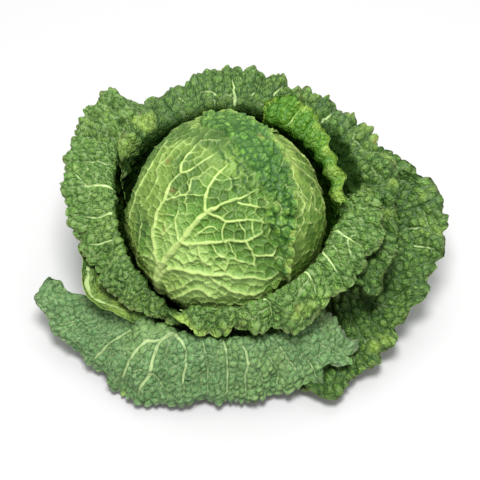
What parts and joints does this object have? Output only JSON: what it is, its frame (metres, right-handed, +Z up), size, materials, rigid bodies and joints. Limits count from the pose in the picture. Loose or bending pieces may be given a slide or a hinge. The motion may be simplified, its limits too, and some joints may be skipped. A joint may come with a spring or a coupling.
{
  "type": "savoy cabbage",
  "caption": "Savoy cabbage on a short cut stalk: a dense, net-veined head inside loose crinkled wrapper leaves with rolled-out lips.",
  "frame": {"origin": "centre of the stalk's flat cut face, on the surface that the cabbage rests on", "axes": "+Z up through the head, -Y towards the viewer of the picture, +X to the picture's right"},
  "size_m": [0.2949, 0.2366, 0.1574],
  "materials": {
    "stalk": "pale fibrous cut stalk",
    "head_leaf": "pale green leaf with raised veins",
    "inner_leaf": "bright green crinkled leaf",
    "outer_leaf": "dark green crinkled waxy leaf"
  },
  "bodies": {
    "root": {"stalk": "stalk", "head": "head_leaf", "wrapper_inner": "inner_leaf", "wrapper_right_front": "outer_leaf", "wrapper_back": "outer_leaf", "wrapper_right_back": "outer_leaf", "wrapper_left": "outer_leaf", "wrapper_left_low": "outer_leaf", "wrapper_front": "outer_leaf", "wrapper_right_low": "outer_leaf", "wrapper_back_low": "outer_leaf"}
  },
  "joints": []
}
